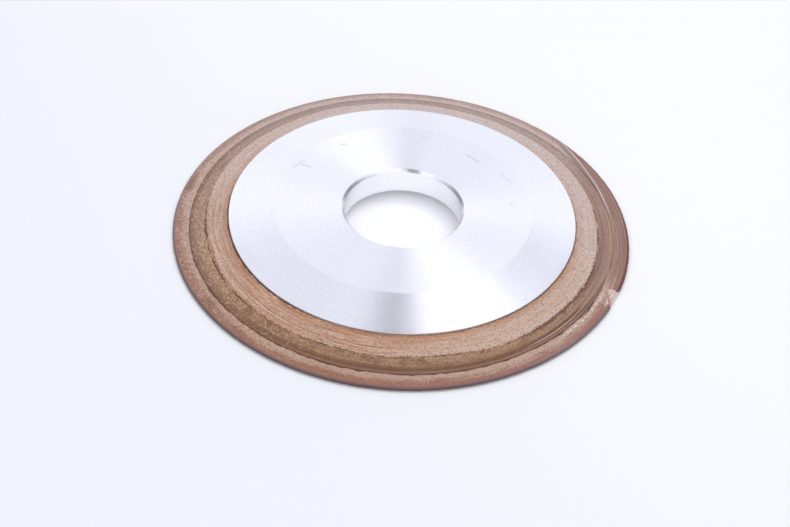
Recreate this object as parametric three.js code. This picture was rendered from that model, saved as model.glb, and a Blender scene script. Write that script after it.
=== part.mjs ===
// A dish-shaped resin-bond diamond grinding wheel, lying on its working side.
//
// The wheel is three pieces bonded into one, each turned about the spindle axis +Z:
//   aluminium_core      the turned body, with the spindle bore and the two faces that flanges clamp
//   resin_backing_ring  the abrasive-free resin, pressed round the core's dovetail tongue
//   diamond_rim         the diamond section at the edge, which does the grinding
//
// Lengths are millimetres. The origin is the middle of the bore, on the plane that the wheel lies on,
// and outlines are lists of [radius, height].
import * as THREE from "three";

// The standard sizes: outside diameter 125, thickness 10, bore 32
const OUTSIDE_RADIUS = 62.5;
const TOTAL_HEIGHT = 10;
const BORE_RADIUS = 16;

// The core: a flat hub, then a straight taper down to the ring
const HUB_THICKNESS = 8;
const HUB_FACE_RADIUS = 35.2;
const CORE_RADIUS = 47.3;
const TAPER_DROP = 3.3;
const BORE_CHAMFER = 0.75;

// The core's dovetail tongue
const TONGUE_REACH = 1.6;
const TONGUE_ROOT_THICKNESS = 1.4;
const TONGUE_TIP_THICKNESS = 2;

// The rim: a sloping land, a short bevel to the thin edge, and an undercut back to the working face
const RIM_WIDTH = 4.5;
const LAND_HEIGHT = 2.15;
const LAND_END = [62, 1.2];
const EDGE_HEIGHT = 0.7;
const WORKING_FACE_RADIUS = 61.9;

// The backing ring: a turned band just under the core's edge, a steeper moulded cone down to a shallow
// groove, then a ridge at the rim
const RING_STEP = 0.35;
const TURNED_BAND_END = [53.6, 4];
const GROOVE = [56.7, 2.3];
const RIDGE = [57.8, 2.6];
const RELIEF_HEIGHT = 0.5;
const RELIEF_SLOPE_RADIUS = 51.5;
const RELIEF_END_RADIUS = 56.5;

// Facets round the axis, the same for every piece so that bonded faces meet exactly
const SEGMENTS = 144;

const HUB_BACK_HEIGHT = TOTAL_HEIGHT - HUB_THICKNESS;
const TAPER_END_HEIGHT = TOTAL_HEIGHT - TAPER_DROP;
const RIM_INNER_RADIUS = OUTSIDE_RADIUS - RIM_WIDTH;

const MATERIALS = {
  aluminium: new THREE.MeshStandardMaterial({ color: 0xe6e8ee, roughness: 0.32, metalness: 1 }),
  backingResin: new THREE.MeshStandardMaterial({ color: 0xb5967f, roughness: 0.75, metalness: 0 }),
  diamondResin: new THREE.MeshStandardMaterial({ color: 0xa17868, roughness: 0.7, metalness: 0 }),
};

// The tongue's outline from its lower edge to its upper edge, shared by the core and the ring
function tongueOutline() {
  const middle = (HUB_BACK_HEIGHT + TAPER_END_HEIGHT) / 2;
  const tip = CORE_RADIUS + TONGUE_REACH;
  return [
    [CORE_RADIUS, middle - TONGUE_ROOT_THICKNESS / 2],
    [tip, middle - TONGUE_TIP_THICKNESS / 2],
    [tip, middle + TONGUE_TIP_THICKNESS / 2],
    [CORE_RADIUS, middle + TONGUE_ROOT_THICKNESS / 2],
  ];
}

// A ring-shaped piece: a closed outline, anticlockwise with radius to the right, turned about +Z
function turned(name, outline, material) {
  const points = [...outline, outline[0]].map(([radius, height]) => new THREE.Vector2(radius, height));
  const geometry = new THREE.LatheGeometry(points, SEGMENTS);
  geometry.rotateX(Math.PI / 2); // the lathe turns about +Y, and the wheel about +Z
  const mesh = new THREE.Mesh(geometry, material);
  mesh.name = name;
  return mesh;
}

function aluminiumCore() {
  const chamferRadius = BORE_RADIUS + BORE_CHAMFER;
  return turned(
    "aluminium_core",
    [
      [chamferRadius, HUB_BACK_HEIGHT],
      [CORE_RADIUS, HUB_BACK_HEIGHT],
      ...tongueOutline(),
      [CORE_RADIUS, TAPER_END_HEIGHT],
      [HUB_FACE_RADIUS, TOTAL_HEIGHT],
      [chamferRadius, TOTAL_HEIGHT],
      [BORE_RADIUS, TOTAL_HEIGHT - BORE_CHAMFER],
      [BORE_RADIUS, HUB_BACK_HEIGHT + BORE_CHAMFER],
    ],
    MATERIALS.aluminium,
  );
}

function resinBackingRing() {
  return turned(
    "resin_backing_ring",
    [
      [CORE_RADIUS, HUB_BACK_HEIGHT],
      [RELIEF_SLOPE_RADIUS, HUB_BACK_HEIGHT],
      [RELIEF_END_RADIUS, RELIEF_HEIGHT],
      [RIM_INNER_RADIUS, RELIEF_HEIGHT],
      [RIM_INNER_RADIUS, LAND_HEIGHT],
      RIDGE,
      GROOVE,
      TURNED_BAND_END,
      [CORE_RADIUS, TAPER_END_HEIGHT - RING_STEP],
      ...tongueOutline().reverse(),
    ],
    MATERIALS.backingResin,
  );
}

function diamondRim() {
  return turned(
    "diamond_rim",
    [
      [RIM_INNER_RADIUS, 0],
      [WORKING_FACE_RADIUS, 0],
      [OUTSIDE_RADIUS, EDGE_HEIGHT],
      LAND_END,
      [RIM_INNER_RADIUS, LAND_HEIGHT],
      [RIM_INNER_RADIUS, RELIEF_HEIGHT],
    ],
    MATERIALS.diamondResin,
  );
}

const wheel = new THREE.Group();
wheel.add(aluminiumCore(), resinBackingRing(), diamondRim());

export default wheel;
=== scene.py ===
"""A dish-shaped resin-bond diamond grinding wheel on a pale floor.

Three turned pieces stand for the three CAD nodes: the aluminium core, the resin backing ring and the
diamond rim. Each is a closed outline turned about +Z, whose surface is then worn by functions of the
angle and the radius. The same functions are stored on the mesh, and the materials paint by them.

Outlines, radii and depths are in millimetres and angles in degrees until a mesh is made, in metres.
"""
import math

import bpy
import numpy as np
from mathutils import Matrix, Vector


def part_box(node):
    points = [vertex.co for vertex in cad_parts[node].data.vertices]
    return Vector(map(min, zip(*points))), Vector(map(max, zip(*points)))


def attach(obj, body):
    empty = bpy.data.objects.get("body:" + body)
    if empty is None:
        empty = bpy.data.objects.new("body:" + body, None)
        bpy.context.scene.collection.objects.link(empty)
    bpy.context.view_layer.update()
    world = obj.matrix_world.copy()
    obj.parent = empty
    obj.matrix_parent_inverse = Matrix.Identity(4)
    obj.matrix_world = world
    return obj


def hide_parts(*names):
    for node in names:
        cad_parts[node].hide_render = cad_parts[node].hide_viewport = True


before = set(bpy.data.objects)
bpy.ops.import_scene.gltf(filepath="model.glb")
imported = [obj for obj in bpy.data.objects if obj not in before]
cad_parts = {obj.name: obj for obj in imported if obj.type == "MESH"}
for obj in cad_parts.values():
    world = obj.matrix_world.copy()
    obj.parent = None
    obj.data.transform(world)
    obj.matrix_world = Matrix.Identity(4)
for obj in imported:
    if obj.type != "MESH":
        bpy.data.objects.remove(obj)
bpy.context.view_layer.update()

MM = 0.001

# ---------------------------------------------------------------- sizes, from the CAD frame
core_low, core_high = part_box("aluminium_core")
ring_low, ring_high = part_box("resin_backing_ring")
_, rim_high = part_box("diamond_rim")

OUTSIDE_RADIUS = rim_high.x / MM
HUB_TOP = core_high.z / MM
CORE_BACK = core_low.z / MM
RING_TOP = ring_high.z / MM
RING_BACK = ring_low.z / MM
RIM_INNER_RADIUS = ring_high.x / MM
TONGUE_TIP_RADIUS = core_high.x / MM

# ---------------------------------------------------------------- sizes that the outlines add
BORE_RADIUS = 16
BORE_CHAMFER = 0.75
HUB_FACE_RADIUS = 35.2
CORE_RADIUS = 47.3
TAPER_END_HEIGHT = 6.7
TONGUE_ROOT_THICKNESS = 1.4
TONGUE_TIP_THICKNESS = 2
BAND_END = (53.6, 4.0)
GROOVE = (56.7, 2.3)
RIDGE = (57.65, 2.6)
RELIEF_SLOPE_RADIUS = 51.5
RELIEF_END_RADIUS = 56.5
LAND_START = (58.45, 2.08)
LAND_END = (61.85, 1.25)
WORKING_FACE_RADIUS = 61.9
SKIN_START = (56.2, 2.6)
EDGE_HEIGHT = 0.7
RING_ROOT = (CORE_RADIUS, RING_TOP - 0.45)
RING_CREST = (CORE_RADIUS + 0.2, RING_TOP - 0.06)
RING_OUTER_TOP = 2.25

CORE_SEGMENTS = 720
RESIN_SEGMENTS = 960

# ---------------------------------------------------------------- the wear: seeds, and where it is
WEAR_SEED = 7
GRAIN_SEED = 11

# The random grids start at this radius and reach this much further out
WEAR_START_RADIUS = 45
WEAR_WIDTH = 20

# The angle of the side that is least soiled and faces the key light: the resin is painted darker and browner
# away from it, partly as soiling and partly as painted shade
LIT_CLEAN_SIDE = 75

# Sectors of the wheel: the angles where they start and end, and how long their soft ends are
STREAKED = (182, 272, 46)
STAINED = (222, 354, 52)
MOTTLED = (146, 246, 36)
LINED = (310, 348, 12)

# The spiral where the moulded skin ends runs out to the edge as it goes round
SPIRAL_ANGLES = (18, 30, 41, 46)
SPIRAL_RADII = (58.2, 59.0, 60.7, 62.0)

# The chip: the angle of its middle, the radius of its tip, and the radius at which its width is true
CHIP_ANGLE = 339.6
CHIP_TIP_RADIUS = 59.9
CHIP_ARC_RADIUS = 61

# The dark blotches: the angle and radius of each one's middle, with its reach in degrees and in mm
BLOTCHES = [
    (166, 6, 61.0, 1.1),
    (215, 4, 60.0, 1.2),
    (225, 3.2, 54.3, 0.8),
    (232.5, 2.6, 54.2, 0.7),
    (248, 4, 53.9, 0.5),
    (157, 5, 55.3, 0.7),
]


# ---------------------------------------------------------------- outlines
def filleted(corners, radii, steps=5):
    """The closed outline through these corners, each turned into an arc of its radius (0 keeps it sharp)."""
    points = []
    count = len(corners)
    for i, radius in enumerate(radii):
        corner = np.array(corners[i], float)
        before = np.array(corners[i - 1], float) - corner
        after = np.array(corners[(i + 1) % count], float) - corner
        if radius == 0:
            points.append(corner)
            continue
        before /= np.linalg.norm(before)
        after /= np.linalg.norm(after)
        half_angle = math.acos(float(np.clip(before @ after, -1, 1))) / 2
        middle = (before + after) / np.linalg.norm(before + after)
        centre = corner + middle * radius / math.sin(half_angle)
        start = corner + before * radius / math.tan(half_angle) - centre
        end = corner + after * radius / math.tan(half_angle) - centre
        sweep = math.atan2(start[0] * end[1] - start[1] * end[0], float(start @ end))
        for step in range(steps + 1):
            angle = sweep * step / steps
            turn = np.array([[math.cos(angle), -math.sin(angle)], [math.sin(angle), math.cos(angle)]])
            points.append(centre + turn @ start)
    return np.array(points)


def subdivided(outline, spacing):
    """The closed outline with no stretch longer than spacing(radius, height)."""
    points = []
    for start, end in zip(outline, np.roll(outline, -1, axis=0)):
        middle = (start + end) / 2
        pieces = max(1, math.ceil(np.linalg.norm(end - start) / spacing(*middle)))
        points.extend(start + (end - start) * k / pieces for k in range(pieces))
    return np.array(points)


def tongue_corners():
    """The core's dovetail tongue, from its lower edge to its upper edge."""
    middle = (CORE_BACK + TAPER_END_HEIGHT) / 2
    return [
        (CORE_RADIUS, middle - TONGUE_ROOT_THICKNESS / 2),
        (TONGUE_TIP_RADIUS, middle - TONGUE_TIP_THICKNESS / 2),
        (TONGUE_TIP_RADIUS, middle + TONGUE_TIP_THICKNESS / 2),
        (CORE_RADIUS, middle + TONGUE_ROOT_THICKNESS / 2),
    ]


# ---------------------------------------------------------------- functions of angle and radius
def smooth(value):
    """The value clipped to 0 to 1, eased at both ends."""
    value = np.clip(value, 0, 1)
    return value * value * (3 - 2 * value)


def bell(offset, half_width):
    """1 where the offset is 0, falling off to both sides."""
    return np.exp(-((offset / half_width) ** 2))


def near(degrees, centre, reach):
    """1 at the centre angle, falling smoothly to 0 at reach degrees either side."""
    away = np.abs((degrees - centre + 180) % 360 - 180)
    return smooth(1 - away / reach)


def between(degrees, start, end, soft):
    """1 from the start angle round to the end angle, with soft ends that many degrees long."""
    length = (end - start) % 360
    along = (degrees - start + 180 - length / 2) % 360 - 180 + length / 2
    inside = np.minimum(along, length - along) / soft
    return smooth(inside + 0.5)


def between_each(degrees, start, end, soft):
    """As between(), for arrays of starts above 180 and of ends below it."""
    rising = smooth((degrees - start) / soft + 0.5)
    falling = smooth((end - degrees) / soft + 0.5)
    return np.where(degrees > 180, rising, falling)


def wander(random, degrees, lowest, highest, power=0.7):
    """A smooth random function round the circle, about -1 to 1, from waves of lowest to highest per turn."""
    total = np.zeros_like(degrees, dtype=float)
    size = 0.0
    for waves in range(lowest, highest + 1):
        height = waves**-power
        total += height * np.sin(np.radians(degrees * waves) + random.uniform(0, 2 * math.pi))
        size += height * height / 2
    return total / (1.6 * math.sqrt(size))


def streaks(random, radius, size):
    """A smooth random function of the radius, -1 to 1, with steps of about that size in mm."""
    values = random.uniform(-1, 1, 64)
    place = np.clip((radius - WEAR_START_RADIUS) / size, 0, len(values) - 2)
    low = np.floor(place).astype(int)
    return values[low] + (values[low + 1] - values[low]) * smooth(place - low)


def patches(random, degrees, radius, around, per_mm):
    """Smooth random patches on the (angle, radius) plane, -1 to 1: cells per turn and cells per mm."""
    rows = int(WEAR_WIDTH * per_mm) + 3
    grid = random.uniform(-1, 1, (rows, around))
    x = (degrees % 360) / 360 * around
    y = np.clip((radius - WEAR_START_RADIUS) * per_mm, 0, rows - 2)
    column, row = np.floor(x).astype(int), np.floor(y).astype(int)
    u, v = smooth(x - column), smooth(y - row)
    left, right = column % around, (column + 1) % around
    low = grid[row, left] * (1 - u) + grid[row, right] * u
    high = grid[row + 1, left] * (1 - u) + grid[row + 1, right] * u
    return low * (1 - v) + high * v


# ---------------------------------------------------------------- the wear on the resin
class Wear:
    """Where the resin is turned, moulded, cracked or chipped, for arrays of angle and radius.

    Edges are signed distances in mm, so that a material can cut them sharply. The methods draw from one
    random generator in turn, so their order matters.
    """

    def __init__(self, degrees, radius):
        self.degrees = degrees
        self.radius = radius
        self.random = np.random.default_rng(WEAR_SEED)
        self.find_band_edge()
        self.find_flash()
        self.find_land_edge()
        self.find_skin()
        self.find_chip()
        self.find_blotches()

    def find_band_edge(self):
        """The turned band beside the core ends in a ragged edge, which is cracked in places."""
        random, degrees = self.random, self.degrees
        ragged = 0.15 * wander(random, degrees, 40, 260, 0.2) + 0.22 * wander(random, degrees, 3, 14)
        ragged = ragged * (0.35 + 0.65 * between(degrees, 150, 350, 30))
        bulge = 0.75 * near(degrees, 113, 9) + 0.45 * near(degrees, 303, 22) - 0.35 * near(degrees, 262, 40)
        self.band_edge = BAND_END[0] + ragged + bulge - self.radius
        crack = between(degrees, 176, 222, 8) + 0.7 * between(degrees, 228, 300, 20)
        crack = np.clip(crack + between(degrees, 306, 12, 12), 0, 1)
        self.crack = np.clip(crack * (0.75 + 0.7 * wander(random, degrees, 12, 90, 0.4)), 0, 1)

    def find_flash(self):
        """The flash line runs between ring and rim, with a few jogs."""
        random, degrees = self.random, self.degrees
        jog = 0.5 * near(degrees, 330, 5) + 0.35 * near(degrees, 320, 4) - 0.2 * near(degrees, 305, 12)
        self.flash_radius = 58.1 + 0.2 * wander(random, degrees, 8, 140, 0.25) + jog
        strength = 0.75 + 0.6 * wander(random, degrees, 15, 70, 0.5)
        self.flash = np.clip(between(degrees, 190, 340, 14) * strength, 0, 1)

    def find_land_edge(self):
        """The land is turned light on its inner side, and keeps its moulded skin towards the edge."""
        self.land_edge = 60.0 + 0.4 * wander(self.random, self.degrees, 4, 60, 0.6) - self.radius

    def find_skin(self):
        """The moulded skin starts in uneven streaks by the chip, fades on the cone, and ends at a spiral, a
        raised lip painted pale as a highlight, with a band of painted shade just inside it.
        """
        degrees, radius = self.degrees, self.radius
        streaky = streaks(self.random, radius, 0.45)
        past = (degrees + 180) % 360 - 180
        spiral = np.interp(past, SPIRAL_ANGLES, SPIRAL_RADII)
        fading = smooth((past - 24 - 3 * streaky) / 16)
        outside = np.maximum(smooth((radius - spiral) / 0.4 + 0.5), 1 - fading)
        start = 340 + 9 * streaky - 6 * smooth((58.4 - radius) / 1.5)
        self.skin = between_each(degrees, start, 47 + 4 * streaky, 5) * outside
        self.skin *= smooth((radius - 53.8) / 0.4)
        # the spiral lip is raised, and painted pale as a highlight; just inside it lies a band of painted
        # shade
        self.spiral_lip_highlight = between(degrees, 14, 46, 10) * bell(radius - spiral - 0.2, 0.2)
        self.shade_wedge = between(degrees, 14, 45, 14) * smooth((spiral - radius) / 0.3)
        self.shade_wedge *= smooth((radius - spiral + 2) / 0.8)

    def find_chip(self):
        """One chip has broken off the rim's edge, with pale marks beside it."""
        random, degrees, radius = self.random, self.degrees, self.radius
        across = (degrees - CHIP_ANGLE) * math.radians(1) * CHIP_ARC_RADIUS
        ragged = 0.55 * wander(random, degrees, 60, 300, 0.1)
        slanted = across - 1.3 + 0.62 * (radius - CHIP_TIP_RADIUS) + 0.35 * streaks(random, radius, 0.6)
        chip = 1.1 + 0.9 * (radius - CHIP_TIP_RADIUS) - np.abs(slanted)
        self.chip_edge = np.minimum(chip + ragged * 0.6, radius - 59.8 + ragged)
        marks = between(degrees, 318, 339, 4) * bell(radius - 59.0 - 0.4 * ragged, 0.3)
        lobe = 1.1 * near(degrees, 336.6, 2.2) * bell(radius - 61.0 - 0.4 * ragged, 0.4)
        marks = np.maximum(marks * (0.8 + wander(random, degrees, 80, 300, 0.1)), lobe)
        self.pale = np.clip(marks, 0, 1)

    def find_blotches(self):
        """Dark blotches lie on the soiled side."""
        sway = 0.35 * wander(self.random, self.degrees, 20, 120, 0.3)
        self.blotch = np.zeros_like(self.radius)
        for centre, reach, middle, half_width in BLOTCHES:
            spot = near(self.degrees, centre, reach) * bell(self.radius - middle - sway, half_width)
            self.blotch = np.maximum(self.blotch, spot)


# ---------------------------------------------------------------- meshes
def quad_mesh(name, positions, faces):
    """A mesh of quads: positions is one row for each vertex, and faces one row of vertex numbers each."""
    mesh = bpy.data.meshes.new(name)
    mesh.vertices.add(len(positions))
    mesh.vertices.foreach_set("co", positions.ravel())
    mesh.loops.add(faces.size)
    mesh.loops.foreach_set("vertex_index", faces.ravel().astype(np.int32))
    mesh.polygons.add(len(faces))
    mesh.polygons.foreach_set("loop_start", np.arange(len(faces), dtype=np.int32) * 4)
    mesh.update(calc_edges=True)
    return mesh


def turned(name, outline, segments, shape=None):
    """A closed ring-shaped piece: the outline turned about +Z.

    shape(degrees, radius, height) gives each vertex's new radius and height, and the mesh's attributes.
    """
    degrees = np.arange(segments) * 360 / segments
    angle, radius = np.meshgrid(degrees, outline[:, 0], indexing="ij")
    _, height = np.meshgrid(degrees, outline[:, 1], indexing="ij")
    attributes = {}
    if shape:
        radius, height, attributes = shape(angle, radius, height)
    theta = np.radians(angle)
    positions = np.stack([radius * np.cos(theta), radius * np.sin(theta), height], -1).reshape(-1, 3) * MM
    count = len(outline)
    a = np.arange(segments)[:, None] * count + np.arange(count)[None, :]
    b = np.roll(a, -1, axis=1)
    faces = np.stack([a, np.roll(a, -1, axis=0), np.roll(b, -1, axis=0), b], -1).reshape(-1, 4)
    mesh = quad_mesh(name, positions, faces)
    for key, values in attributes.items():
        layer = mesh.attributes.new(key, "FLOAT", "POINT")
        layer.data.foreach_set("value", np.broadcast_to(values, angle.shape).astype(np.float32).ravel())
    mesh.validate()
    mesh.shade_smooth()
    mesh.set_sharp_from_angle(angle=math.radians(40))
    piece = bpy.data.objects.new(name, mesh)
    bpy.context.scene.collection.objects.link(piece)
    return piece


def stand_for(piece, node, material):
    """Gives the piece its material, and puts it in the place of a CAD node."""
    piece.data.materials.append(material)
    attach(piece, "root")
    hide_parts(node)


def core_piece():
    chamfer = BORE_RADIUS + BORE_CHAMFER
    corners = [
        (chamfer, CORE_BACK),
        (CORE_RADIUS, CORE_BACK),
        *tongue_corners(),
        (CORE_RADIUS, TAPER_END_HEIGHT),
        (HUB_FACE_RADIUS, HUB_TOP),
        (chamfer, HUB_TOP),
        (BORE_RADIUS, HUB_TOP - BORE_CHAMFER),
        (BORE_RADIUS, CORE_BACK + BORE_CHAMFER),
    ]
    radii = [0.06, 0, 0, 0, 0, 0, 0.1, 1.2, 0.06, 0.06, 0.06]
    longest = 1.5
    outline = subdivided(filleted(corners, radii), lambda radius, height: longest)
    return turned("turned_core", outline, CORE_SEGMENTS)


def skinned(radius, height, skin):
    """The height where the moulded skin runs straight from the cone to the edge, over groove and ridge."""
    slope = (SKIN_START[1] - LAND_END[1]) / (SKIN_START[0] - LAND_END[0])
    straight = SKIN_START[1] + slope * (radius - SKIN_START[0])
    return height + (straight - height) * skin * (radius < LAND_END[0] - 0.3)


def on_ring_front(radius, height):
    """True on the ring's upper surface, and False on its bonded faces, its tongue groove and its back."""
    front = (height > 1.9) & (radius > CORE_RADIUS + 0.05) & (radius < RIM_INNER_RADIUS - 0.01)
    return front & (height > 6.9 - (radius - CORE_RADIUS) * 0.5)


def ring_shape(degrees, radius, height):
    wear = Wear(degrees, radius)
    random = np.random.default_rng(GRAIN_SEED)
    front = on_ring_front(radius, height)
    lift = 0.025 * patches(random, degrees, radius, 520, 2.4)
    lift += 0.06 * patches(random, degrees, radius, 60, 0.9) * smooth(-wear.band_edge)
    lift -= 0.1 * smooth(-wear.band_edge / 0.15)
    lift -= 0.22 * wear.crack * bell(wear.band_edge, 0.13)
    lift += 0.07 * wander(random, degrees, 5, 60) * bell(radius - RIDGE[0], 0.4)
    lift += 0.05 * wear.spiral_lip_highlight
    height = np.where(front & (radius > GROOVE[0] - 0.8), skinned(radius, height, wear.skin), height)
    height = height + np.where(front, lift, 0)
    return radius, height, ring_attributes(wear)


def ring_attributes(wear):
    """What the ring's material reads at each vertex."""
    degrees = wear.degrees
    return {
        "band_edge": wear.band_edge,
        "crack": wear.crack,
        "skin": wear.skin,
        "spiral_lip_highlight": wear.spiral_lip_highlight,
        "shade_wedge": wear.shade_wedge,
        "blotch": wear.blotch,
        "streaks": 0.2 + 0.8 * between(degrees, *STREAKED),
        "stained": 0.1 + 0.9 * between(degrees, *STAINED),
        "mottled": between(degrees, *MOTTLED),
        "lined": between(degrees, *LINED),
        # the dark line at the core: a real dark gap, with painted shadow of the core's step, strongest on the
        # side turned from the key light
        "joint_gap_and_shadow": 0.1 + 0.7 * between(degrees, 172, 240, 16) + 0.3 * between(degrees, 240, 12, 16),
    }


def ring_piece():
    corners = [
        (CORE_RADIUS, CORE_BACK),
        (RELIEF_SLOPE_RADIUS, CORE_BACK),
        (RELIEF_END_RADIUS, RING_BACK),
        (RIM_INNER_RADIUS, RING_BACK),
        (RIM_INNER_RADIUS, RING_OUTER_TOP),
        RIDGE,
        GROOVE,
        BAND_END,
        RING_CREST,
        RING_ROOT,
        *reversed(tongue_corners()),
    ]
    radii = [0, 1.5, 1.5, 0, 0.05, 0.22, 0.9, 0.6, 0.08, 0, 0, 0, 0, 0]

    def spacing(radius, height):
        """Coarse below the core's back and on the bonded faces, and finest on the moulded part."""
        if height < CORE_BACK or radius < CORE_RADIUS + 0.02 or radius > RIM_INNER_RADIUS - 0.02:
            return 3.0
        return 0.17 if radius > BAND_END[0] - 1 else 0.45

    outline = subdivided(filleted(corners, radii, 4), spacing)
    return turned("moulded_backing_ring", outline, RESIN_SEGMENTS, ring_shape)


def rim_shape(degrees, radius, height):
    wear = Wear(degrees, radius)
    random = np.random.default_rng(GRAIN_SEED)
    front = height > 1.1
    lift = 0.025 * patches(random, degrees, radius, 560, 2.6)
    lift += 0.05 * smooth(-wear.land_edge / 0.3) * (1 - smooth((radius - 61.2) / 0.6))
    lift -= 0.2 * wear.flash * smooth((wear.flash_radius + 0.2 - radius) / 0.2)
    lift += 0.08 * wear.spiral_lip_highlight
    height = np.where(front, skinned(radius, height, wear.skin), height)
    broken = smooth(wear.chip_edge / 0.3)
    depth = broken * (0.28 + 0.16 * patches(random, degrees, radius, 420, 1.6))
    height = height + np.where(front, lift, 0) - depth * smooth((height - EDGE_HEIGHT) / 0.45)
    edge = smooth((radius - 61.6) / 0.6)
    nicks = 0.05 * np.abs(wander(random, degrees, 20, 160, 0.3)) + 0.28 * broken
    radius = radius - edge * nicks
    return radius, height, rim_attributes(wear, radius)


def rim_attributes(wear, radius):
    """What the rim's material reads at each vertex, whose radius the nicks have changed."""
    degrees = wear.degrees
    return {
        "land_edge": wear.land_edge,
        "chip_edge": wear.chip_edge,
        "pale": wear.pale,
        "skin": wear.skin,
        "spiral_lip_highlight": wear.spiral_lip_highlight,
        "shade_wedge": wear.shade_wedge,
        "blotch": wear.blotch,
        "flash": wear.flash,
        "flash_out": radius - wear.flash_radius,
        "mottled": between(degrees, *MOTTLED),
        "rusty": near(degrees, 329, 12) * bell(radius - 61.3, 0.8),
        "skinned_edge": between(degrees, 338, 65, 16) * (1 - between(degrees, 45, 90, 30)),
    }


def rim_piece():
    corners = [
        (RIM_INNER_RADIUS, 0),
        (WORKING_FACE_RADIUS, 0),
        (OUTSIDE_RADIUS, EDGE_HEIGHT),
        LAND_END,
        LAND_START,
        (RIM_INNER_RADIUS, LAND_START[1]),
    ]
    radii = [0, 0.15, 0.2, 0.6, 0.2, 0]

    def spacing(radius, height):
        """Coarse on the working face and the bonded face, fine elsewhere."""
        return 1.5 if height < 0.5 or radius < RIM_INNER_RADIUS + 0.02 else 0.11

    outline = subdivided(filleted(corners, radii), spacing)
    # rounding draws the edge in, so the outline moves out again, and its bonded face back
    outline[:, 0] += OUTSIDE_RADIUS - outline[:, 0].max()
    outline[outline[:, 0] < RIM_INNER_RADIUS + 0.1, 0] = RIM_INNER_RADIUS
    return turned("abrasive_rim", outline, RESIN_SEGMENTS, rim_shape)


# ---------------------------------------------------------------- materials
def linear(red, green, blue):
    """An 8-bit sRGB colour as the shader's linear one."""

    def one(value):
        value /= 255
        return value / 12.92 if value <= 0.04045 else ((value + 0.055) / 1.055) ** 2.4

    return (one(red), one(green), one(blue), 1)


class Nodes:
    """A node tree, with one short method for each kind of node used here."""

    def __init__(self, tree):
        self.tree = tree

    def node(self, kind, **settings):
        node = self.tree.nodes.new(kind)
        for key, value in settings.items():
            setattr(node, key, value)
        return node

    def feed(self, socket, value):
        """Links the socket to another one, or sets it to a plain value."""
        if isinstance(value, bpy.types.NodeSocket):
            self.tree.links.new(value, socket)
        else:
            socket.default_value = value

    def math(self, operation, first, second=0.0, third=0.0, clamp=False):
        node = self.node("ShaderNodeMath", operation=operation, use_clamp=clamp)
        for socket, value in zip(node.inputs, (first, second, third)):
            self.feed(socket, value)
        return node.outputs[0]

    def step(self, value, low, high):
        """0 at low and 1 at high, eased between them. low may be the greater of the two."""
        node = self.node("ShaderNodeMapRange", interpolation_type="SMOOTHSTEP")
        for socket, given in zip(node.inputs, (value, low, high)):
            self.feed(socket, given)
        return node.outputs[0]

    def blend(self, factor, first, second):
        node = self.node("ShaderNodeMix", data_type="RGBA", clamp_factor=True)
        self.feed(node.inputs["Factor"], factor)
        self.feed(node.inputs[6], first)
        self.feed(node.inputs[7], second)
        return node.outputs[2]

    def attribute(self, name):
        return self.node("ShaderNodeAttribute", attribute_name=name).outputs["Fac"]

    def noise(self, vector, scale, detail=2.0, roughness=0.5):
        node = self.node("ShaderNodeTexNoise")
        self.feed(node.inputs["Vector"], vector)
        self.feed(node.inputs["Scale"], scale)
        self.feed(node.inputs["Detail"], detail)
        self.feed(node.inputs["Roughness"], roughness)
        return node.outputs["Fac"]

    def position(self):
        """The place on the piece, in mm."""
        place = self.node("ShaderNodeTexCoord").outputs["Object"]
        node = self.node("ShaderNodeVectorMath", operation="SCALE")
        self.feed(node.inputs[0], place)
        self.feed(node.inputs["Scale"], 1 / MM)
        return node.outputs[0]

    def polar(self):
        """The radius in mm, the height in mm, and the unit vector out from the axis."""
        place = self.position()
        parts = self.node("ShaderNodeSeparateXYZ")
        self.feed(parts.inputs[0], place)
        flat = self.node("ShaderNodeCombineXYZ")
        self.feed(flat.inputs[0], parts.outputs[0])
        self.feed(flat.inputs[1], parts.outputs[1])
        length = self.node("ShaderNodeVectorMath", operation="LENGTH")
        self.feed(length.inputs[0], flat.outputs[0])
        out = self.node("ShaderNodeVectorMath", operation="NORMALIZE")
        self.feed(out.inputs[0], flat.outputs[0])
        return length.outputs["Value"], parts.outputs[2], out.outputs[0]

    def rings(self, radius, out, around, per_mm, detail=2.0, roughness=0.5):
        """Noise drawn out round the axis: around sets how many marks to a turn, per_mm how fine they are."""
        scaled = self.node("ShaderNodeVectorMath", operation="SCALE")
        self.feed(scaled.inputs[0], out)
        self.feed(scaled.inputs["Scale"], around / (2 * math.pi))
        lift = self.node("ShaderNodeCombineXYZ")
        self.feed(lift.inputs[2], self.math("MULTIPLY", radius, per_mm))
        total = self.node("ShaderNodeVectorMath", operation="ADD")
        self.feed(total.inputs[0], scaled.outputs[0])
        self.feed(total.inputs[1], lift.outputs[0])
        return self.noise(total.outputs[0], 1.0, detail, roughness)

    def lines(self, radius, out, around, per_mm, width):
        """Thin wandering lines round the axis, where noise passes its middle: 1 on a line and 0 off it."""
        noise = self.rings(radius, out, around, per_mm)
        away = self.math("ABSOLUTE", self.math("SUBTRACT", noise, 0.5))
        return self.step(away, width, width * 0.3)

    def facing(self, out, degrees):
        """0 on the side towards that angle round the axis, rising to 1 on the far side."""
        turn = math.radians(degrees)
        node = self.node("ShaderNodeVectorMath", operation="DOT_PRODUCT")
        self.feed(node.inputs[0], out)
        self.feed(node.inputs[1], (math.cos(turn), math.sin(turn), 0))
        return self.math("MULTIPLY_ADD", node.outputs["Value"], -0.5, 0.5)

    def bump(self, height, distance, strength, normal=None):
        node = self.node("ShaderNodeBump")
        self.feed(node.inputs["Height"], height)
        self.feed(node.inputs["Distance"], distance)
        self.feed(node.inputs["Strength"], strength)
        if normal:
            self.feed(node.inputs["Normal"], normal)
        return node.outputs["Normal"]


class Shader(Nodes):
    """A material's nodes."""

    def __init__(self, name):
        self.material = bpy.data.materials.new(name)
        self.material.use_nodes = True
        super().__init__(self.material.node_tree)
        self.surface = self.tree.nodes["Principled BSDF"]


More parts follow.
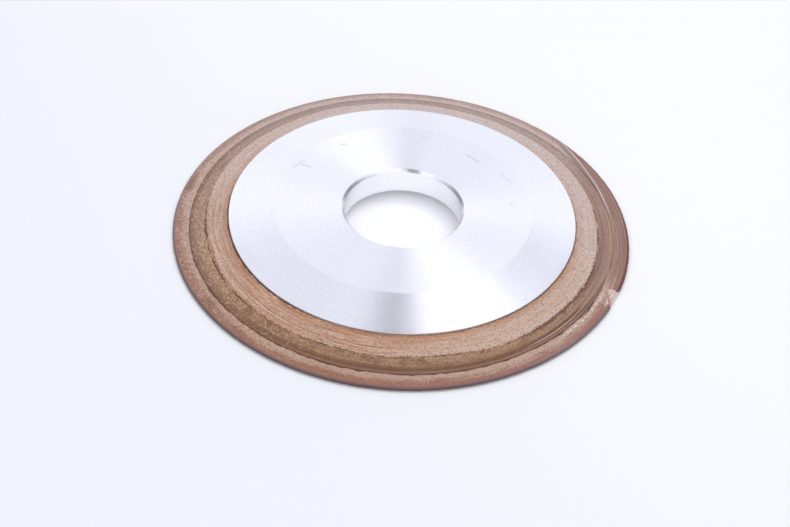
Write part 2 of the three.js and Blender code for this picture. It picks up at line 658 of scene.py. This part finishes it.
# The marks on the aluminium's front face: middle in mm, angle in degrees, length, half width
SCRATCHES = [
    ((18.5, 23.0), -41, 4.4, 0.22),
    ((28.0, 15.0), -47, 5.0, 0.1),
    ((29.5, 3.8), -38, 1.2, 0.16),
    ((-29.6, 15.6), 42, 3.4, 0.18),
    ((-27.2, 15.4), -24, 2.6, 0.18),
    ((-28.6, 17.4), 20, 1.6, 0.16),
    ((-17.5, 25.8), 8, 1.3, 0.26),
    ((-21.6, 32.9), -45, 3.0, 0.16),
    ((5.0, 30.5), 3, 2.4, 0.12),
]


def front_height(radius):
    """The height of the aluminium's front face, which is flat and then tapers."""
    return float(np.interp(radius, (HUB_FACE_RADIUS, CORE_RADIUS), (HUB_TOP, TAPER_END_HEIGHT)))


def scratch_mask(shader, place):
    """1 on the scratches and 0 off them."""
    deepest = 0.0
    for (x, y), degrees, length, half_width in SCRATCHES:
        turn = math.radians(degrees)
        along = Vector((math.cos(turn), math.sin(turn), 0))
        offset = shader.node("ShaderNodeVectorMath", operation="SUBTRACT")
        shader.feed(offset.inputs[0], place)
        shader.feed(offset.inputs[1], (x, y, front_height(math.hypot(x, y))))
        dot = shader.node("ShaderNodeVectorMath", operation="DOT_PRODUCT")
        shader.feed(dot.inputs[0], offset.outputs[0])
        shader.feed(dot.inputs[1], along)
        reach = shader.node("ShaderNodeClamp")
        shader.feed(reach.inputs["Value"], dot.outputs["Value"])
        reach.inputs["Min"].default_value = -length / 2
        reach.inputs["Max"].default_value = length / 2
        nearest = shader.node("ShaderNodeVectorMath", operation="SCALE")
        shader.feed(nearest.inputs[0], along)
        shader.feed(nearest.inputs["Scale"], reach.outputs[0])
        gap = shader.node("ShaderNodeVectorMath", operation="DISTANCE")
        shader.feed(gap.inputs[0], offset.outputs[0])
        shader.feed(gap.inputs[1], nearest.outputs[0])
        mark = shader.step(gap.outputs["Value"], half_width, half_width * 0.3)
        deepest = shader.math("MAXIMUM", mark, deepest)
    return deepest


def aluminium_material():
    """Aluminium turned on a lathe: fine grooves round the axis, and a few handling marks."""
    shader = Shader("turned_aluminium")
    radius, _, out = shader.polar()
    place = shader.position()
    grooves = shader.rings(radius, out, 2.5, 3.4, 3.0, 0.75)
    broad = shader.rings(radius, out, 4, 0.8)
    grain = shader.noise(place, 2.2, 3.0, 0.65)
    marks = scratch_mask(shader, place)
    broken = shader.math("MULTIPLY", marks, shader.step(shader.noise(place, 3.0), 0.36, 0.5))
    tone = shader.math("ADD", shader.math("MULTIPLY", grooves, 0.15), shader.math("MULTIPLY", grain, 0.85))
    colour = shader.blend(shader.step(tone, 0.35, 0.65), linear(236, 236, 240), linear(249, 249, 251))
    colour = shader.blend(shader.math("MULTIPLY", broken, 0.45), colour, linear(130, 132, 144))
    surface = shader.surface
    shader.feed(surface.inputs["Base Color"], colour)
    rough = shader.math("MULTIPLY_ADD", broad, 0.06, 0.27)
    rough = shader.math("MULTIPLY_ADD", grain, 0.06, rough)
    chamfer = shader.step(radius, BORE_RADIUS + BORE_CHAMFER + 0.1, BORE_RADIUS + BORE_CHAMFER)
    rough = shader.math("MULTIPLY_ADD", chamfer, -0.12, rough)
    shader.feed(surface.inputs["Roughness"], rough)
    surface.inputs["Metallic"].default_value = 1.0
    surface.inputs["Anisotropic"].default_value = 0.95
    surface.inputs["Anisotropic Rotation"].default_value = 0.25
    tangent = shader.node("ShaderNodeTangent", direction_type="RADIAL", axis="Z")
    shader.feed(surface.inputs["Tangent"], tangent.outputs[0])
    normal = shader.bump(grooves, 0.012 * MM, 0.25)
    normal = shader.bump(grain, 0.02 * MM, 0.3, normal)
    normal = shader.bump(shader.math("MULTIPLY", broken, -1.0), 0.1 * MM, 0.8, normal)
    shader.feed(surface.inputs["Normal"], normal)
    return shader.material


class Resin:
    """What the two resin materials share: the grain, the lines round the axis and the darkening away from the
    lit side, which is partly soiling and partly painted shade.
    """

    def __init__(self, name):
        self.shader = shader = Shader(name)
        self.radius, self.height, self.out = shader.polar()
        self.place = shader.position()
        self.coarse = shader.noise(self.place, 1.9, 3.0, 0.75)
        self.fine = shader.noise(self.place, 4.5, 2.0, 0.7)
        self.slow = shader.rings(self.radius, self.out, 11.0, 0.5, 3.0, 0.6)
        self.medium = shader.rings(self.radius, self.out, 7.0, 2.0, 3.0, 0.65)
        self.thin = shader.rings(self.radius, self.out, 12.0, 4.0, 3.0, 0.6)
        # darker away from the lit side: partly soiling, partly painted shade
        uneven = shader.math("MULTIPLY_ADD", self.slow, 0.5, -0.25)
        self.grime_and_shade = shader.math("ADD", shader.facing(self.out, LIT_CLEAN_SIDE), uneven, clamp=True)

    def tone(self, lit_clean, shaded_grimy):
        """A colour that goes from the lit, less soiled side to the far side round the wheel: partly soiling,
        partly painted shade.
        """
        return self.shader.blend(self.grime_and_shade, linear(*lit_clean), linear(*shaded_grimy))

    def grained(self, colour, dark, amount):
        """The colour with dark grains in it."""
        grains = self.shader.step(self.coarse, 0.53, 0.38)
        return self.shader.blend(self.shader.math("MULTIPLY", grains, amount), colour, dark)

    def painted(self, colour, mask, over, share=1.0):
        """The colour with another one over it where the mask is."""
        if share != 1.0:
            mask = self.shader.math("MULTIPLY", mask, share)
        return self.shader.blend(mask, colour, over)

    def ring_line(self, radius, half_width, where):
        """1 on a slightly wandering line round the axis at that radius, as far as it is drawn there."""
        shader = self.shader
        swayed = shader.math("ADD", self.radius, shader.math("SUBTRACT", self.slow, 0.5))
        away = shader.math("ABSOLUTE", shader.math("SUBTRACT", swayed, radius))
        return shader.math("MULTIPLY", shader.step(away, half_width, half_width * 0.3), where)

    def mottled(self, colour):
        """The colour with fine dark and pale spots in it, on the side that is soiled most."""
        shader = self.shader
        where = shader.attribute("mottled")
        spots = shader.noise(self.place, 1.1, 5.0, 0.75)
        dark = shader.math("MULTIPLY", where, shader.step(spots, 0.5, 0.62))
        colour = self.painted(colour, dark, linear(126, 86, 54), 0.4)
        pale = shader.math("MULTIPLY", where, shader.step(spots, 0.46, 0.36))
        colour = self.painted(colour, pale, linear(212, 176, 142), 0.7)
        return self.painted(colour, shader.attribute("blotch"), linear(118, 78, 58), 0.6)

    def skin_tone(self):
        """The moulded skin: purple-brown, with olive, orange and dark streaks."""
        shader = self.shader
        broad = shader.step(self.slow, 0.38, 0.62)
        colour = shader.blend(broad, linear(142, 108, 102), linear(156, 122, 106))
        colour = self.painted(colour, shader.step(self.medium, 0.48, 0.64), linear(166, 138, 104), 0.8)
        colour = self.painted(colour, shader.step(self.medium, 0.46, 0.32), linear(158, 106, 84), 0.6)
        colour = self.painted(colour, shader.step(self.thin, 0.54, 0.68), linear(108, 76, 72), 0.7)
        colour = self.painted(colour, shader.step(self.thin, 0.44, 0.34), linear(190, 160, 140), 0.5)
        olive = shader.step(self.radius, 56.3, 57.3)
        olive = shader.math("MULTIPLY", olive, shader.step(self.radius, 59.4, 58.4))
        colour = self.painted(colour, olive, linear(176, 146, 112), 0.4)
        colour = self.painted(colour, shader.step(self.radius, 59.6, 61.4), linear(146, 98, 88), 0.4)
        dark = shader.lines(self.radius, self.out, 4.0, 1.1, 0.02)
        colour = self.painted(colour, dark, linear(92, 62, 58), 0.7)
        colour = self.painted(colour, shader.step(self.fine, 0.53, 0.66), linear(190, 160, 132), 0.3)
        return self.grained(colour, linear(104, 72, 60), 0.4)

    def finish(self, colour):
        """The finished material, with the grain as roughness and bump."""
        shader, surface = self.shader, self.shader.surface
        shader.feed(surface.inputs["Base Color"], colour)
        shader.feed(surface.inputs["Roughness"], shader.math("MULTIPLY_ADD", self.fine, 0.3, 0.4))
        surface.inputs["Specular IOR Level"].default_value = 0.4
        normal = shader.bump(self.coarse, 0.1 * MM, 0.6)
        normal = shader.bump(self.fine, 0.06 * MM, 0.6, normal)
        normal = shader.bump(self.thin, 0.08 * MM, 0.5, normal)
        shader.feed(surface.inputs["Normal"], normal)
        return shader.material


def turned_band(resin):
    """Sandy on the lit side and darker away from it, partly soiling and partly painted shade; orange-brown
    with fine lines where it is stained.
    """
    shader = resin.shader
    streaky = shader.attribute("streaks")
    colour = resin.tone((203, 187, 180), (198, 168, 146))
    stain = shader.math("MULTIPLY", streaky, shader.step(resin.medium, 0.42, 0.6))
    colour = resin.painted(colour, stain, linear(188, 134, 88), 0.85)
    near_core = shader.math("MULTIPLY", shader.step(resin.radius, 50.2, 47.6), resin.grime_and_shade)
    near_core = shader.math("MULTIPLY", near_core, shader.step(resin.slow, 0.2, 0.62))
    colour = resin.painted(colour, near_core, linear(180, 124, 80), 0.95)
    for around, per_mm in ((12.0, 1.6), (16.0, 2.3)):
        dark = shader.math("MULTIPLY", shader.lines(resin.radius, resin.out, around, per_mm, 0.04), streaky)
        colour = resin.painted(colour, dark, linear(140, 88, 54), 0.7)
    for radius, half_width in ((51.3, 0.36), (49.5, 0.3), (48.5, 0.3)):
        line = resin.ring_line(radius, half_width, streaky)
        colour = resin.painted(colour, line, linear(176, 116, 68), 0.55)
    pale = shader.math("MULTIPLY", shader.lines(resin.radius, resin.out, 9.0, 1.9, 0.03), streaky)
    colour = resin.painted(colour, pale, linear(220, 190, 168), 0.6)
    colour = resin.painted(colour, shader.step(resin.fine, 0.56, 0.66), linear(226, 208, 194), 0.45)
    return resin.grained(colour, linear(124, 88, 64), 0.55)


# Fine lines round the cone and ridge, beside the skin: radius, half width, colour and how strong
RIDGE_LINES = [
    (57.35, 0.28, (100, 70, 60), 0.8),
    (56.1, 0.3, (102, 72, 60), 0.75),
    (56.75, 0.18, (200, 170, 150), 0.9),
    (55.4, 0.14, (184, 154, 132), 0.6),
]


def stained_cone(resin):
    """Brown with darker stains, and browner towards the groove."""
    shader = resin.shader
    stained = shader.attribute("stained")
    colour = resin.tone((176, 151, 138), (180, 138, 102))
    stains = shader.noise(resin.place, 0.34, 4.0, 0.65)
    stains = shader.math("MULTIPLY", shader.step(stains, 0.48, 0.64), stained)
    colour = resin.painted(colour, stains, linear(112, 76, 50), 0.85)
    browner = shader.math("MULTIPLY", stained, shader.step(resin.radius, 53.0, 56.5))
    colour = resin.painted(colour, browner, linear(138, 98, 70), 0.75)
    olive = shader.math("MULTIPLY", shader.step(resin.medium, 0.5, 0.62), resin.grime_and_shade)
    colour = resin.painted(colour, olive, linear(172, 142, 104), 0.6)
    colour = resin.grained(colour, linear(110, 74, 52), 0.45)
    return resin.painted(colour, shader.step(resin.thin, 0.57, 0.68), linear(120, 84, 66), 0.55)


def moulded_part(resin):
    """The stained cone, then the groove, painted darker as partly staining and partly painted shade in the
    recess, and the ridge with its fine lines.
    """
    shader = resin.shader
    # the groove is painted darker than the cone: partly staining, partly painted shade in the recess
    groove = resin.tone((178, 158, 150), (146, 112, 84))
    groove = shader.blend(shader.attribute("stained"), groove, linear(112, 72, 46))
    colour = shader.blend(shader.step(resin.radius, 55.6, 56.5), stained_cone(resin), groove)
    ridge = resin.tone((160, 146, 140), (138, 96, 66))
    colour = shader.blend(shader.step(resin.radius, 57.0, 57.3), colour, ridge)
    soiled = shader.math("MULTIPLY", shader.step(resin.radius, 56.5, 57.1), shader.attribute("mottled"))
    colour = resin.painted(colour, soiled, linear(112, 74, 46), 0.5)
    streaky = shader.math("MULTIPLY", shader.step(resin.thin, 0.52, 0.64), resin.grime_and_shade)
    colour = resin.painted(colour, streaky, linear(104, 70, 50), 0.45)
    colour = resin.painted(colour, shader.step(resin.fine, 0.54, 0.66), linear(196, 166, 140), 0.3)
    colour = resin.grained(colour, linear(92, 62, 46), 0.35)
    lined = shader.attribute("lined")
    for radius, half_width, tone, share in RIDGE_LINES:
        colour = resin.painted(colour, resin.ring_line(radius, half_width, lined), linear(*tone), share)
    return resin.painted(colour, shader.step(resin.radius, 57.72, 57.86), linear(120, 86, 72), 0.5)


def ring_material():
    """The backing ring: a turned band, then the moulded cone, groove and ridge."""
    resin = Resin("backing_resin")
    shader = resin.shader
    moulded = resin.mottled(moulded_part(resin))
    moulded = resin.painted(moulded, shader.attribute("skin"), resin.skin_tone())
    # painted shade in the band inside the spiral lip, and a painted highlight along the lip
    moulded = resin.painted(moulded, shader.attribute("shade_wedge"), linear(140, 118, 118), 0.6)
    moulded = resin.painted(moulded, shader.attribute("spiral_lip_highlight"), linear(204, 182, 172), 0.8)
    ragged = shader.math("MULTIPLY_ADD", shader.noise(resin.place, 2.2, 3.0, 0.7), 0.8, -0.4)
    edge = shader.math("ADD", shader.attribute("band_edge"), ragged)
    colour = shader.blend(shader.step(edge, -0.06, 0.08), moulded, turned_band(resin))
    line = shader.step(shader.math("ABSOLUTE", shader.math("ADD", edge, 0.14)), 0.34, 0.1)
    line = shader.math("MULTIPLY", line, shader.attribute("crack"))
    colour = resin.painted(colour, line, linear(96, 62, 46), 0.85)
    darker = shader.math("MULTIPLY", line, shader.attribute("mottled"))
    colour = resin.painted(colour, darker, linear(76, 46, 36), 0.7)
    outer = shader.step(shader.math("ABSOLUTE", shader.math("ADD", edge, 0.34)), 0.6, 0.2)
    outer = shader.math("MULTIPLY", outer, shader.attribute("lined"))
    colour = resin.painted(colour, outer, linear(106, 68, 56), 0.7)
    # the dark line at the core: a real dark gap, with painted shadow of the core's step, strongest on the
    # side turned from the key light
    gap = shader.math("MULTIPLY_ADD", shader.rings(resin.radius, resin.out, 240.0, 1.0), -1.2, resin.radius)
    gap = shader.step(gap, CORE_RADIUS + 0.06, CORE_RADIUS - 0.24)
    gap = shader.math("MULTIPLY", gap, shader.attribute("joint_gap_and_shadow"))
    colour = resin.painted(colour, gap, linear(74, 45, 44))
    return resin.finish(colour)


def rim_land(resin):
    """The land: light where it is turned, and reddish beyond its ragged edge."""
    shader = resin.shader
    light = resin.tone((194, 172, 160), (178, 146, 124))
    light = resin.grained(light, linear(124, 88, 66), 0.42)
    light = resin.painted(light, shader.step(resin.fine, 0.58, 0.68), linear(216, 198, 188), 0.4)
    red = resin.tone((172, 144, 132), (150, 104, 82))
    redder = resin.tone((164, 134, 124), (160, 114, 86))
    red = resin.painted(red, shader.step(resin.medium, 0.5, 0.62), redder, 0.7)
    red = resin.grained(red, linear(106, 66, 50), 0.5)
    edge = shader.math("MULTIPLY_ADD", resin.coarse, 3.0, -1.5)
    edge = shader.math("ADD", edge, shader.math("MULTIPLY_ADD", resin.medium, 3.0, -1.5))
    edge = shader.math("ADD", shader.attribute("land_edge"), edge)
    return resin.mottled(shader.blend(shader.step(edge, -1.1, 0.9), red, light))


def rim_bevel(resin):
    """The bevel and the thin edge: purple, with painted shade that darkens them lower down and on the side
    turned from the light, and red-brown where the skin runs over them.
    """
    shader = resin.shader
    purple = resin.tone((166, 144, 142), (128, 92, 90))
    dark = resin.tone((156, 138, 138), (84, 60, 58))
    # painted shade: the bevel darkens lower down, where it turns away from the light
    bevel = shader.blend(shader.step(resin.height, 1.25, 0.85), purple, dark)
    bevel = resin.painted(bevel, shader.attribute("skinned_edge"), linear(106, 54, 48), 0.95)
    return resin.painted(bevel, shader.attribute("rusty"), linear(112, 66, 56), 0.7)


def rim_material():
    """The diamond section: a light turned land, a reddish moulded skin and a dark thin edge."""
    resin = Resin("diamond_resin")
    shader = resin.shader
    colour = resin.painted(rim_land(resin), shader.attribute("skin"), resin.skin_tone())
    # painted shade in the band inside the spiral lip, and a painted highlight along the lip
    colour = resin.painted(colour, shader.attribute("shade_wedge"), linear(126, 102, 102), 0.8)
    colour = resin.painted(colour, shader.attribute("spiral_lip_highlight"), linear(210, 190, 182), 0.9)
    colour = resin.painted(colour, shader.attribute("rusty"), linear(152, 90, 66), 0.65)
    colour = shader.blend(shader.step(resin.radius, 61.55, 61.95), colour, rim_bevel(resin))
    broken = shader.math("MULTIPLY_ADD", resin.coarse, 0.8, -0.4)
    broken = shader.step(shader.math("ADD", shader.attribute("chip_edge"), broken), 0.0, 0.12)
    pale = shader.blend(shader.step(resin.coarse, 0.52, 0.42), linear(214, 198, 186), linear(190, 154, 134))
    pale = resin.grained(pale, linear(146, 108, 92), 0.35)
    colour = resin.painted(colour, shader.math("MAXIMUM", broken, shader.attribute("pale")), pale)
    inside = shader.step(shader.attribute("flash_out"), 0.14, 0.02)
    inside = shader.math("MULTIPLY", inside, shader.attribute("flash"))
    colour = resin.painted(colour, inside, linear(104, 72, 54), 0.85)
    grit = shader.blend(shader.step(resin.fine, 0.5, 0.62), linear(128, 104, 92), linear(176, 160, 146))
    colour = resin.painted(colour, shader.step(resin.height, 0.25, 0.05), grit)
    return resin.finish(colour)


# ---------------------------------------------------------------- the stage
FLOOR_HALF_SIZE = 4.0
FLOOR_SHADING_ALONG = (0.8, 0.6, 0)

# The floor that shows through the bore is painted light, paler and glowing a little to lift the shade in the
# bore: the radii in mm of that round spot
PATCH_FULL_RADIUS = 18
PATCH_END_RADIUS = 40
PATCH_GLOW = 0.09

LAMP_DISTANCE = 0.8

# The tent is dimmer low down (heights on the unit sphere) at its two sides (distances along X)
TENT_COLOUR = (0.88, 0.9, 1.0, 1)
TENT_STRENGTH = 1.25
TENT_LOW_STRENGTH = 0.3
TENT_LOW_HEIGHTS = (0.5, 0.62)
TENT_SIDES = (0.8, 0.6)

# Panels of the tent that are darker than the rest: azimuth and elevation of the middle, half-sizes
# along X, Y and Z on the unit sphere, and the share of the light that the panel keeps
PANELS = [
    (269, 84, (0.1, 0.45, 0.45), 0.1),
    (120, 62, (0.22, 0.35, 0.35), 0.7),
    (60, 46, (0.14, 0.2, 0.2), 0.75),
    (252, 49, (0.16, 0.2, 0.2), 0.1),
]

CAMERA_DISTANCE = 0.8063
CAMERA_ELEVATION = 40.31
CAMERA_ROLL = 3.42
CAMERA_AIM = (-0.00122, -0.01277, EDGE_HEIGHT * MM)
SENSOR_WIDTH = 36
FOCAL_LENGTH = 134.14


def make_floor():
    """Pale paper, with painted shade that makes it slightly darker and bluer towards one side."""
    half = FLOOR_HALF_SIZE
    corners = [(-half, -half, 0), (half, -half, 0), (half, half, 0), (-half, half, 0)]
    mesh = bpy.data.meshes.new("floor")
    mesh.from_pydata(corners, [], [(0, 1, 2, 3)])
    floor = bpy.data.objects.new("floor", mesh)
    bpy.context.scene.collection.objects.link(floor)
    mesh.materials.append(floor_material())


def floor_material():
    shader = Shader("floor_paper")
    place = shader.position()
    across = shader.node("ShaderNodeVectorMath", operation="DOT_PRODUCT")
    shader.feed(across.inputs[0], place)
    shader.feed(across.inputs[1], FLOOR_SHADING_ALONG)
    # painted shade: the paper is darker and bluer away from the key light's side
    painted_shade_side = shader.step(across.outputs["Value"], 90, -110)
    painted_shade_side = shader.math("MULTIPLY_ADD", shader.noise(place, 0.01), 0.2, painted_shade_side)
    colour = shader.blend(painted_shade_side, linear(240, 239, 233), linear(232, 233, 232))
    # painted light: the floor under the bore is paler and glows, lifting the shade inside the bore
    away = shader.node("ShaderNodeVectorMath", operation="LENGTH")
    shader.feed(away.inputs[0], place)
    painted_light_patch = shader.step(away.outputs["Value"], PATCH_END_RADIUS, PATCH_FULL_RADIUS)
    colour = shader.blend(painted_light_patch, colour, linear(252, 252, 250))
    surface = shader.surface
    shader.feed(surface.inputs["Base Color"], colour)
    shader.feed(surface.inputs["Emission Strength"], shader.math("MULTIPLY", painted_light_patch, PATCH_GLOW))
    surface.inputs["Emission Color"].default_value = TENT_COLOUR
    surface.inputs["Roughness"].default_value = 0.8
    return shader.material


def direction(azimuth, elevation):
    """The unit vector towards that azimuth and elevation. Azimuth 0 is +X and 90 is the back."""
    turn, lift = math.radians(azimuth), math.radians(elevation)
    return Vector((math.cos(turn) * math.cos(lift), math.sin(turn) * math.cos(lift), math.sin(lift)))


def area_light(name, azimuth, elevation, size, power):
    """A square softbox aimed at the wheel."""
    light = bpy.data.lights.new(name, "AREA")
    light.shape = "SQUARE"
    light.size = size
    light.energy = power
    lamp = bpy.data.objects.new(name, light)
    lamp.location = direction(azimuth, elevation) * LAMP_DISTANCE
    lamp.rotation_mode = "QUATERNION"
    lamp.rotation_quaternion = direction(azimuth, elevation).to_track_quat("Z", "Y")
    bpy.context.scene.collection.objects.link(lamp)
    return lamp


def panel_shading(graph, looking, azimuth, elevation, half_sizes, share):
    """The share of the light on the panel, and 1 outside it."""
    offset = graph.node("ShaderNodeVectorMath", operation="SUBTRACT")
    graph.feed(offset.inputs[0], looking)
    graph.feed(offset.inputs[1], direction(azimuth, elevation))
    scaled = graph.node("ShaderNodeVectorMath", operation="DIVIDE")
    graph.feed(scaled.inputs[0], offset.outputs[0])
    graph.feed(scaled.inputs[1], half_sizes)
    away = graph.node("ShaderNodeVectorMath", operation="LENGTH")
    graph.feed(away.inputs[0], scaled.outputs[0])
    outside = graph.step(away.outputs["Value"], 0.8, 1.2)
    return graph.math("MULTIPLY_ADD", outside, 1 - share, share)


def make_world():
    """A white tent round the wheel, with a few darker panels."""
    world = bpy.data.worlds.new("tent")
    world.use_nodes = True
    graph = Nodes(world.node_tree)
    looking = graph.node("ShaderNodeTexCoord").outputs["Generated"]
    parts = graph.node("ShaderNodeSeparateXYZ")
    graph.feed(parts.inputs[0], looking)
    high = graph.step(parts.outputs[2], *TENT_LOW_HEIGHTS)
    inward = graph.step(graph.math("ABSOLUTE", parts.outputs[0]), *TENT_SIDES)
    light = graph.math("MAXIMUM", high, inward)
    light = graph.math("MULTIPLY_ADD", light, TENT_STRENGTH - TENT_LOW_STRENGTH, TENT_LOW_STRENGTH)
    for panel in PANELS:
        light = graph.math("MULTIPLY", light, panel_shading(graph, looking, *panel))
    background = graph.tree.nodes["Background"]
    background.inputs["Color"].default_value = TENT_COLOUR
    graph.feed(background.inputs["Strength"], light)
    bpy.context.scene.world = world


def make_camera():
    """A long lens in front of the wheel and above it, rolled slightly."""
    camera = bpy.data.cameras.new("camera")
    camera.sensor_width = SENSOR_WIDTH
    camera.lens = FOCAL_LENGTH
    camera.clip_start = 0.05
    camera.clip_end = 20
    holder = bpy.data.objects.new("camera", camera)
    bpy.context.scene.collection.objects.link(holder)
    rim_middle = Vector((0, 0, EDGE_HEIGHT * MM))
    elevation = math.radians(CAMERA_ELEVATION)
    holder.location = rim_middle + CAMERA_DISTANCE * Vector((0, -math.cos(elevation), math.sin(elevation)))
    look = (Vector(CAMERA_AIM) - holder.location).to_track_quat("-Z", "Y").to_matrix()
    roll = Matrix.Rotation(math.radians(CAMERA_ROLL), 3, "Z")
    holder.rotation_mode = "QUATERNION"
    holder.rotation_quaternion = (look @ roll).to_quaternion()
    bpy.context.scene.camera = holder


# ---------------------------------------------------------------- the scene
stand_for(core_piece(), "aluminium_core", aluminium_material())
stand_for(ring_piece(), "resin_backing_ring", ring_material())
stand_for(rim_piece(), "diamond_rim", rim_material())

make_floor()
make_world()
area_light("softbox", azimuth=48, elevation=68, size=0.26, power=0.22)
# the metal's highlights come from the softbox and the tent only
area_light("key", azimuth=63, elevation=72, size=0.3, power=1.0).visible_glossy = False
area_light("fill", azimuth=262, elevation=46, size=0.3, power=0.45).visible_glossy = False
make_camera()
bpy.context.scene.view_settings.view_transform = "Standard"
